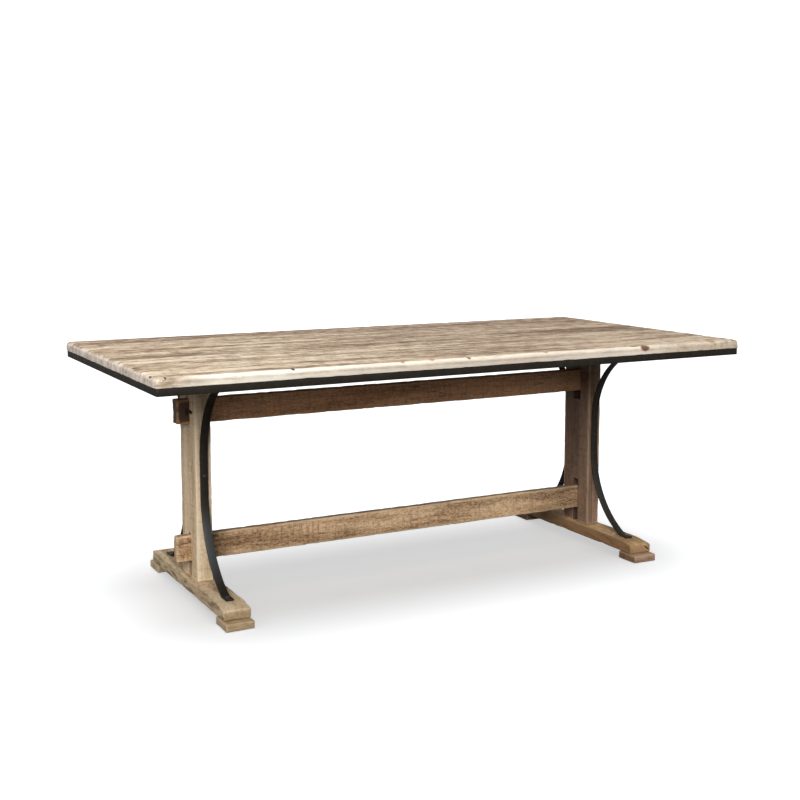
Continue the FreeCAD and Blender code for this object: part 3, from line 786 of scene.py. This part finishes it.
# Painted shade on the feet's flanks, and on the right foot also towards the back
FOOT_WOOD = {
    "left": wood(
        "foot_wood_left",
        (shade(230, 208, 174), shade(190, 165, 130), shade(86, 70, 46)),
        worn=shade(208, 184, 150), end=shade(156, 130, 100), grain="Y", seed=77.0, bias=-0.04,
        streak=0.55, mottle=0.35, least_wear=0.1, deeper=painted_flank_shade(0.9),
    ),
    "right": wood(
        "foot_wood_right",
        (shade(213, 180, 134), shade(171, 135, 95), shade(122, 90, 60)),
        worn=shade(144, 112, 76), end=shade(146, 114, 80), grain="Y", seed=71.0, bias=0.0,
        streak=0.4, mottle=0.36, least_wear=0.0, deeper=painted_shade_to_back(1.05, 0.4),
    ),
}
PAD_TONES = {
    "left": (shade(180, 158, 124), shade(154, 130, 98), shade(111, 88, 61)),
    "right": (shade(170, 142, 116), shade(144, 116, 92), shade(94, 67, 49)),
}
PAD_ENDS = {"left": shade(196, 178, 152), "right": shade(126, 92, 66)}
# Painted shade on the right pads' flanks and towards the back
PAD_WOOD = {
    side: wood(
        f"pad_wood_{side}",
        tones, worn=tones[0], end=PAD_ENDS[side], grain="X", seed=64.0 + SIDES[side],
        deeper=painted_shade_to_back(0.5, 1.0) if side == "right" else None,
    )
    for side, tones in PAD_TONES.items()
}
RAIL_MOTTLING = (90, 200, 200)
# Painted shade on the rails near the posts, on the upper rail's left stub, and on the lower rail's upper and
# under faces
UPPER_WOOD = wood(
    "upper_rail_wood",
    (shade(226, 173, 127), shade(186, 136, 96), shade(80, 54, 35)),
    worn=shade(206, 158, 112), end=shade(120, 96, 72), grain="X", seed=88.0, bias=0.04,
    streak=0.35, mottle=0.4, mottling=RAIL_MOTTLING, saw=0.3,
    deeper=painted_shade_left_end, painted_shading=painted_shade_by_posts(0.88, 0.68),
    stains=((UPPER_CRACKS[0][0], (0.007, 0.006, 0.014), SPLIT_SHADE),),
)
LOWER_WOOD = wood(
    "lower_rail_wood",
    (shade(222, 190, 152), shade(182, 149, 112), shade(112, 82, 56)),
    worn=shade(214, 188, 152), end=shade(196, 167, 134), grain="X", seed=97.0, bias=0.06,
    mottle=0.5, mottling=RAIL_MOTTLING, saw=0.5, checks=0.3,
    deeper=painted_flank_shade(0.4, "Z"), painted_shading=painted_shade_by_posts(1.0, 0.64),
)
PEG_WOOD = wood(
    "peg_wood",
    (shade(168, 138, 104), shade(136, 108, 80), shade(96, 72, 52)),
    worn=shade(180, 150, 118), end=shade(140, 112, 84), grain="Y", seed=15.0,
)
IRON = black_iron("black_iron", shade(29, 25, 21), shade(42, 39, 34), 0.45)
SCREW_STEEL = black_iron("screw_steel", shade(40, 40, 42), shade(92, 94, 98), 0.4)


# Boards of the top
def make_plank(number):
    node = f"top_plank_{number}"
    low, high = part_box(node)
    piece = block(f"worn_{node}", low, high)
    outer = {1: low.y, PLANK_COUNT: high.y}.get(number)
    glued = [side for side in (low.y, high.y) if side != outer]

    def at_joint(place):
        return any(same(place.y, side) for side in glued)

    faces = [(point, normal) for point, normal in flat_faces(piece) if not at_joint(Vector(point))]
    open_edit(piece)
    if outer is not None:
        select(piece, "EDGE", lambda edge: runs_along(edge, Z) and same(middle(edge).y, outer))
        bpy.ops.mesh.bevel(offset=TOP_CORNER_RADIUS, segments=6)
    select(piece, "EDGE", lambda edge: same(middle(edge).z, high.z) and not at_joint(middle(edge)))
    bpy.ops.mesh.bevel(offset=TOP_EDGE_RADIUS, segments=5)
    select(piece, "EDGE", lambda edge: same(middle(edge).z, high.z) and at_joint(middle(edge)))
    bpy.ops.mesh.bevel(offset=SEAM_EASE, segments=1)

    run = high.x - PLANK_END_ZONE
    slice_at(piece, X, [-run, run])
    slice_up(piece, low, high, PLANK_STEPS)
    divide_length(piece, PLANK_CUTS, reach=run)
    for sign in SIDES.values():
        slice_at(piece, X, [sign * place for place in spread(run, high.x - TOP_EDGE_RADIUS, PLANK_END_STEP)])
    close_edit()
    weather(piece, faces, low, high, reach=0.024, arris=0.0011)
    if number == 1:
        knock_chip(piece)
    settle(piece, node, plank_material(number))


def knock_chip(piece):
    """Break a knot out of the rounded front edge."""
    bpy.ops.object.select_all(action="DESELECT")
    bpy.ops.mesh.primitive_cone_add(
        vertices=9, radius1=0.0, radius2=CHIP_HALF_WIDTH, depth=CHIP_HEIGHT, location=CHIP_PLACE
    )
    chip = bpy.context.object
    bpy.ops.object.transform_apply(location=True)
    cut(piece, chip)
    smooth(piece)


def split(piece, place, size, slope, axis="Y"):
    """Open a drying crack, tapered at both ends, that runs across the face square to an axis."""
    half = Vector(size) / 2
    crack = block("crack", -half, half)
    open_edit(crack)
    slice_at(crack, X, spread(-half.x, half.x, half.x / 2))
    for taper, reach in CRACK_TAPERS:
        select(crack, "VERT", lambda vert: abs(vert.co.x) > reach * half.x)
        bpy.ops.transform.resize(value=(1, 1, taper), center_override=(0, 0, 0))
    close_edit()
    turn = Matrix.Rotation(math.radians(slope), 4, "Y")
    if axis == "X":
        turn = Matrix.Rotation(math.radians(90), 4, "Z") @ turn
    crack.data.transform(Matrix.Translation(place) @ turn)
    cut(piece, crack)
    smooth(piece)


# Iron frame under the edge of the top
def make_rail(end):
    """Shape one bar of the frame, which hangs a little deeper than its solid, as in the photograph."""
    node = f"frame_rail_{end}"
    low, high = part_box(node)
    low.z -= FRAME_DEEPER
    piece = block(f"angle_{node}", low, high)
    across, along = (Y, X) if end in ENDS else (X, Y)
    side = {**SIDES, **ENDS}[end]
    hollow_low = low.copy()
    hollow_high = high.copy()
    if side < 0:
        hollow_low[across] += FRAME_IRON
        hollow_high[across] += CUT_OVERRUN
    else:
        hollow_high[across] -= FRAME_IRON
        hollow_low[across] -= CUT_OVERRUN
    hollow_low[along] -= CUT_OVERRUN
    hollow_high[along] += CUT_OVERRUN
    hollow_low.z -= CUT_OVERRUN
    hollow_high.z -= FRAME_IRON
    cut(piece, block("hollow", hollow_low, hollow_high))
    open_edit(piece)
    for tip in (-1, 1):
        corner = Vector((0, 0, low.z))
        corner[across] = low[across] if side < 0 else high[across]
        corner[along] = low[along] if tip < 0 else high[along]
        mitre = Vector((0, 0, 0))
        mitre[across] = -side
        mitre[along] = tip
        trim(piece, corner, mitre)
        outward = Vector((0, 0, 0))
        outward[across] = side
        outward[along] = tip
        outward.normalize()
        trim(piece, corner - FRAME_CORNER_BLUNT * outward, outward)
    close_edit()
    ease(piece, IRON_EASE)
    smooth(piece)
    settle(piece, node, IRON)


# Trestles
def make_bearer(side):
    node = f"bearer_{side}"
    low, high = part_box(node)
    piece = block(f"worn_{node}", low, high)
    open_edit(piece)
    slice_at(piece, Y, [low.y + BEARER_BEVEL_LENGTH, high.y - BEARER_BEVEL_LENGTH])
    select(piece, "EDGE", lambda edge: same(middle(edge).z, low.z) and same(abs(middle(edge).y), high.y))
    bpy.ops.transform.translate(value=(0, 0, high.z - low.z - BEARER_END_HEIGHT))
    close_edit()
    faces = flat_faces(piece)
    ease(piece, POST_ARRIS)
    open_edit(piece)
    slice_up(piece, low, high, BEARER_STEPS)
    close_edit()
    weather(piece, faces, low, high)
    settle(piece, node, BEARER_WOOD)


def make_post(side):
    node = f"post_{side}"
    low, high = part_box(node)
    low.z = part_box(f"foot_{side}")[1].z
    high.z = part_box(f"bearer_{side}")[0].z
    piece = block(f"worn_{node}", low, high)
    faces = flat_faces(piece)
    upper_low, upper_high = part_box("upper_stretcher")
    lower_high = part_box("lower_stretcher")[1]
    reach = Vector((CUT_OVERRUN, 0, 0))
    half_way = (low.x + high.x) / 2
    inner_low, inner_high = (half_way, high.x) if side == "left" else (low.x, half_way)
    upper = JOINT_CLEARANCE + upper_high.y
    lower = JOINT_CLEARANCE + lower_high.y
    bottom = upper_low.z - JOINT_CLEARANCE
    top = upper_high.z + JOINT_CLEARANCE
    cuts = (
        (low.x, high.x, upper, bottom, top),
        (inner_low, inner_high, upper, upper_low.z - UPPER_MORTISE_GAP, bottom + CUT_OVERRUN),
        (low.x, high.x, lower, low.z - CUT_OVERRUN, lower_high.z + LOWER_OUTER_GAP),
        (inner_low, inner_high, lower, lower_high.z, lower_high.z + LOWER_MORTISE_GAP),
    )
    for left, right, half, under, over in cuts:
        mortise_low = Vector((left, -half, under)) - reach
        mortise_high = Vector((right, half, over)) + reach
        cut(piece, block("mortise", mortise_low, mortise_high))
    ease(piece, POST_ARRIS, segments=3)
    open_edit(piece)
    slice_up(piece, low, high, POST_STEPS)
    close_edit()
    weather(piece, faces, low, high, chips=0.0012)
    if side == "left":
        (across, height), size, slope = POST_CRACK
        split(piece, Vector((low.x, across, height)), size, slope, "X")
    settle(piece, node, POST_WOOD[side])


def make_foot(side):
    """Shape one foot, sloped down to its nose at the front and left square at the back."""
    node = f"foot_{side}"
    low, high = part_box(node)
    piece = block(f"worn_{node}", low, high)
    open_edit(piece)
    slice_at(piece, Y, [low.y + FOOT_BEVEL_LENGTH])
    select(piece, "EDGE", lambda edge: same(middle(edge).z, high.z) and same(middle(edge).y, low.y))
    bpy.ops.transform.translate(value=(0, 0, low.z + FOOT_END_HEIGHT - high.z))
    close_edit()
    faces = flat_faces(piece)
    open_edit(piece)

    def front_edge_at(height):
        return lambda edge: runs_along(edge, X) and same(middle(edge).z, height) and middle(edge).y < 0

    for radius, height in ((FOOT_RIDGE_EASE, high.z), (FOOT_NOSE_EASE, low.z + FOOT_END_HEIGHT)):
        select(piece, "EDGE", front_edge_at(height))
        bpy.ops.mesh.bevel(offset=radius, segments=4)
    close_edit()
    ease(piece, FOOT_ARRIS, segments=3, angle=40)
    open_edit(piece)
    slice_up(piece, low, high, FOOT_STEPS)
    close_edit()
    weather(piece, faces, low, high, arris=0.0014)
    if side == "right":
        (across, height), size, slope = FOOT_CRACK
        split(piece, Vector((across, low.y, height)), size, slope)
    settle(piece, node, FOOT_WOOD[side])


def make_pad(end, side):
    node = f"pad_{end}_{side}"
    low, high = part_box(node)
    piece = block(f"worn_{node}", low, high)
    faces = flat_faces(piece)
    ease(piece, PAD_ARRIS, segments=3)
    open_edit(piece)
    slice_up(piece, low, high, PAD_STEPS)
    close_edit()
    weather(piece, faces, low, high)
    settle(piece, node, PAD_WOOD[side])


def make_stretcher(name, material, cracks):
    node = f"{name}_stretcher"
    low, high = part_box(node)
    piece = block(f"worn_{node}", low, high)
    faces = flat_faces(piece)
    ease(piece, STRETCHER_ARRIS, segments=2)
    open_edit(piece)
    slice_up(piece, low, high, STRETCHER_STEPS)
    divide_length(piece, STRETCHER_CUTS)
    close_edit()
    weather(piece, faces, low, high, arris=0.0012)
    for place, size, slope in cracks:
        split(piece, Vector(place), size, slope)
    settle(piece, node, material)


# Straps bent outwards at both ends
def model_strap():
    """Shape the front left strap: its run on the post, two bends and two flat tails."""
    low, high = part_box("strap_front_left")
    back = high.y
    front = back - STRAP_THICKNESS
    bend_middle = low.z + STRAP_CONTACT_SHARE * (high.z - low.z)
    bend_low = bend_middle - STRAP_CONTACT_LENGTH / 2
    bend_high = bend_middle + STRAP_CONTACT_LENGTH / 2
    piece = block("bent_strap", Vector((low.x, front, bend_low)), Vector((high.x, back, bend_high)))
    axis_x = (low.x + high.x) / 2
    open_edit(piece)
    turns = (
        (bend_low, low.z, -1, STRAP_FOOT_TAIL),
        (bend_high, high.z, 1, STRAP_BEARER_TAIL),
    )
    for level, seat, sign, tail in turns:
        rise = abs(seat - level) - STRAP_THICKNESS
        radius = (rise ** 2 + STRAP_REACH ** 2) / (2 * STRAP_REACH)
        select(piece, "FACE", lambda face: same(middle(face).z, level) and abs(face.normal.z) > SQUARE_ON)
        bpy.ops.mesh.spin(
            steps=28,
            angle=math.asin(rise / radius),
            center=(axis_x, front - radius, level),
            axis=(-sign, 0, 0),
        )
        tip = front - STRAP_REACH
        near = tip + 2 * STRAP_THICKNESS
        select(piece, "VERT", lambda vert: vert.co.y < near and abs(vert.co.z - seat) < STRAP_THICKNESS / 2)
        bpy.ops.transform.resize(value=(1, 1, 0), center_override=(axis_x, tip, seat))
        core = seat - sign * STRAP_THICKNESS / 2

        def at_tip(face):
            place = middle(face)
            return same(place.z, core) and place.y < tip + STRAP_THICKNESS and abs(face.normal.x) < 0.1

        select(piece, "FACE", at_tip)
        bpy.ops.mesh.extrude_region_move(TRANSFORM_OT_translate={"value": (0, -tail, 0)})
        bpy.ops.transform.resize(value=(1, 0, 1), center_override=(axis_x, tip - tail, seat))
    bpy.ops.mesh.select_all(action="SELECT")
    bpy.ops.mesh.remove_doubles(threshold=SAME_PLACE)
    bpy.ops.mesh.normals_make_consistent(inside=False)
    close_edit()
    ease(piece, IRON_EASE, angle=50)
    smooth(piece, 30)
    return piece


def copy_of(piece, name, matrix):
    """Copy a modelled piece with its own mesh, moved in its mesh."""
    twin = bpy.data.objects.new(name, piece.data.copy())
    bpy.context.scene.collection.objects.link(twin)
    twin.data.name = name
    twin.data.transform(matrix)
    return twin


def make_straps():
    strap = model_strap()
    low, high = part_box("strap_front_left")
    left = (low.x + high.x) / 2
    for side, hand in SIDES.items():
        for end in ENDS:
            turn = Matrix.Rotation(0 if end == "front" else math.pi, 4, "Z")
            matrix = Matrix.Translation((hand * abs(left), 0, 0)) @ turn @ Matrix.Translation((-left, 0, 0))
            node = f"strap_{end}_{side}"
            settle(copy_of(strap, f"bent_{node}", matrix), node, IRON)
    bpy.data.objects.remove(strap, do_unlink=True)


# Screws and pegs
def solids_of(node):
    """Give the lowest and highest corner of each separate solid of a node."""
    bpy.ops.object.select_all(action="DESELECT")
    spare = copy_of(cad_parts[node], "spare", Matrix())
    open_edit(spare)
    bpy.ops.mesh.select_all(action="SELECT")
    bpy.ops.mesh.remove_doubles(threshold=SAME_PLACE)
    bpy.ops.mesh.separate(type="LOOSE")
    close_edit()
    loose = list(bpy.context.selected_objects)
    boxes = []
    for part in loose:
        places = places_of(part)
        boxes.append((Vector(places.min(axis=0)), Vector(places.max(axis=0))))
        bpy.data.objects.remove(part, do_unlink=True)
    return boxes


def sink_by(depth):
    """Draw the chosen faces straight down."""
    bpy.ops.mesh.extrude_region_move(TRANSFORM_OT_translate={"value": (0, 0, -depth)})


def model_screw(length):
    """Turn a round-headed screw, seat at zero, head up and shank down."""
    bpy.ops.object.select_all(action="DESELECT")
    bpy.ops.mesh.primitive_cylinder_add(
        vertices=20, radius=SCREW_HEAD_RADIUS, depth=SCREW_HEAD_HEIGHT, location=(0, 0, SCREW_HEAD_HEIGHT / 2)
    )
    screw = bpy.context.object
    bpy.ops.object.transform_apply(location=True)
    open_edit(screw)
    select(screw, "EDGE", lambda edge: same(middle(edge).z, SCREW_HEAD_HEIGHT))
    bpy.ops.mesh.bevel(offset=SCREW_HEAD_HEIGHT * SCREW_DOME_SHARE, segments=3)
    select(screw, "FACE", lambda face: face.normal.z > SQUARE_ON)
    bpy.ops.mesh.inset(thickness=SCREW_HEAD_RADIUS * SCREW_RIM_SHARE)
    sink_by(SCREW_HEAD_HEIGHT * SCREW_RECESS_SHARE)
    bpy.ops.transform.resize(value=(SCREW_RECESS_TAPER, SCREW_RECESS_TAPER, 1))
    select(screw, "FACE", lambda face: face.normal.z < -SQUARE_ON)
    bpy.ops.mesh.inset(thickness=SCREW_HEAD_RADIUS - SCREW_SHANK_RADIUS)
    sink_by(length * SCREW_STRAIGHT_SHARE)
    sink_by(length * (1 - SCREW_STRAIGHT_SHARE))
    bpy.ops.transform.resize(value=(SCREW_TIP_TAPER, SCREW_TIP_TAPER, 1))
    close_edit()
    smooth(screw, 35)
    return screw


def join(parts, name):
    bpy.ops.object.select_all(action="DESELECT")
    for part in parts:
        part.select_set(True)
    bpy.context.view_layer.objects.active = parts[0]
    bpy.ops.object.join()
    parts[0].name = name
    parts[0].data.name = name
    return parts[0]


def make_screws(node, heading):
    """Set a copy of the screw at each solid of a node, its head towards the heading."""
    boxes = solids_of(node)
    first_low, first_high = boxes[0]
    axis = max(range(3), key=lambda index: abs(heading(first_low)[index]))
    screw = model_screw(first_high[axis] - first_low[axis] - SCREW_HEAD_HEIGHT)
    parts = []
    for low, high in boxes:
        way = heading(low + high)
        seat = (low + high) / 2
        seat[axis] = high[axis] - SCREW_HEAD_HEIGHT if way[axis] > 0 else low[axis] + SCREW_HEAD_HEIGHT
        turn = Vector((0, 0, 1)).rotation_difference(way).to_matrix().to_4x4()
        parts.append(copy_of(screw, "screw", Matrix.Translation(seat) @ turn))
    bpy.data.objects.remove(screw, do_unlink=True)
    settle(join(parts, f"round_{node}"), node, SCREW_STEEL)


def make_pegs():
    parts = []
    for low, high in solids_of("stretcher_pegs"):
        peg = block("peg", low, high)
        open_edit(peg)
        select(peg, "EDGE", lambda edge: runs_along(edge, Y))
        bpy.ops.mesh.bevel(offset=(high.x - low.x) * (1 - math.sqrt(0.5)), segments=1)
        select(peg, "FACE", lambda face: abs(face.normal.y) > SQUARE_ON)
        bpy.ops.mesh.inset(thickness=PEG_RIM, depth=0, use_individual=True)
        slice_up(peg, low, high, PEG_STEPS)
        close_edit()
        parts.append(peg)
    settle(join(parts, "riven_stretcher_pegs"), "stretcher_pegs", PEG_WOOD)


for plank in range(1, PLANK_COUNT + 1):
    make_plank(plank)
for rail_end in (*ENDS, *SIDES):
    make_rail(rail_end)
for side_name in SIDES:
    make_bearer(side_name)
    make_post(side_name)
    make_foot(side_name)
    for end_name in ENDS:
        make_pad(end_name, side_name)
make_stretcher("upper", UPPER_WOOD, UPPER_CRACKS)
make_stretcher("lower", LOWER_WOOD, LOWER_CRACKS)
make_straps()
make_screws("strap_post_screws", lambda place: Vector((0, math.copysign(1, place.y), 0)))
make_screws("strap_foot_screws", lambda place: Vector((0, 0, 1)))
for screw_node in ("strap_bearer_screws", "frame_screws", "bearer_screws", "pad_screws"):
    make_screws(screw_node, lambda place: Vector((0, 0, -1)))
make_pegs()


# Floor, light and camera
FLOOR_SIZE = 60
FLOOR_LIFT = 0.53
FLOOR_SEEN = (0.88, 0.90, 0.92, 1)
FLOOR_THROWN_BACK = (0.16, 0.16, 0.16, 1)
SKY_STRENGTH = 0.28
SKY_SEEN = 1.3
KEY_DIRECTION = (-2.3, -3.1, 2.0)
KEY_SOFTNESS = 34
KEY_STRENGTH = 3.0
OVERHEAD_DIRECTION = (0.05, 0.1, 3.0)
OVERHEAD_SOFTNESS = 48
OVERHEAD_STRENGTH = 2.1
SENSOR_WIDTH = 36
FOCAL_LENGTH = 55.502
LENS_SHIFT = -0.0582
CAMERA_PLACE = (-1.9202, -3.5807, 1.2021)
CAMERA_TURN = (83.184, 0, -27.977)


def lay_floor():
    bpy.ops.object.select_all(action="DESELECT")
    bpy.ops.mesh.primitive_plane_add(size=FLOOR_SIZE)
    floor = bpy.context.object
    floor.name = "studio_floor"
    material, tree, shader = new_material("studio_white")
    seen = tree.nodes.new("ShaderNodeLightPath").outputs["Is Camera Ray"]
    feed(tree, shader.inputs["Base Color"], mix(tree, seen, FLOOR_THROWN_BACK, FLOOR_SEEN))
    shader.inputs["Roughness"].default_value = 0.9
    shader.inputs["Specular IOR Level"].default_value = 0.0
    shader.inputs["Emission Color"].default_value = (1, 1, 1, 1)
    feed(tree, shader.inputs["Emission Strength"], times(tree, seen, FLOOR_LIFT))
    floor.data.materials.append(material)
    return floor


def hang_light(name, direction, softness, strength):
    """Light the whole studio evenly from one direction, as a far softbox does."""
    lamp = bpy.data.lights.new(name, "SUN")
    lamp.angle = math.radians(softness)
    lamp.energy = strength
    light = bpy.data.objects.new(name, lamp)
    light.location = direction
    light.rotation_euler = Vector(direction).to_track_quat("Z", "Y").to_euler()
    bpy.context.scene.collection.objects.link(light)
    return light


def light_studio(floor):
    world = bpy.data.worlds.new("white_studio")
    bpy.context.scene.world = world
    world.use_nodes = True
    tree = world.node_tree
    background = tree.nodes["Background"]
    background.inputs["Color"].default_value = (1, 1, 1, 1)
    seen = tree.nodes.new("ShaderNodeLightPath").outputs["Is Camera Ray"]
    feed(tree, background.inputs["Strength"], ramp(tree, seen, 0, 1, SKY_STRENGTH, SKY_SEEN))
    key = hang_light("key", KEY_DIRECTION, KEY_SOFTNESS, KEY_STRENGTH)
    unlit = bpy.data.collections.new("kept_from_key")
    unlit.objects.link(floor)
    unlit.collection_objects[0].light_linking.link_state = "EXCLUDE"
    key.light_linking.receiver_collection = unlit
    hang_light("overhead", OVERHEAD_DIRECTION, OVERHEAD_SOFTNESS, OVERHEAD_STRENGTH)


def stand_camera():
    lens = bpy.data.cameras.new("camera")
    lens.sensor_width = SENSOR_WIDTH
    lens.lens = FOCAL_LENGTH
    lens.shift_y = LENS_SHIFT
    camera = bpy.data.objects.new("camera", lens)
    camera.location = CAMERA_PLACE
    camera.rotation_euler = [math.radians(angle) for angle in CAMERA_TURN]
    bpy.context.scene.collection.objects.link(camera)
    bpy.context.scene.camera = camera
    bpy.context.scene.view_settings.view_transform = "Standard"


light_studio(lay_floor())
stand_camera()
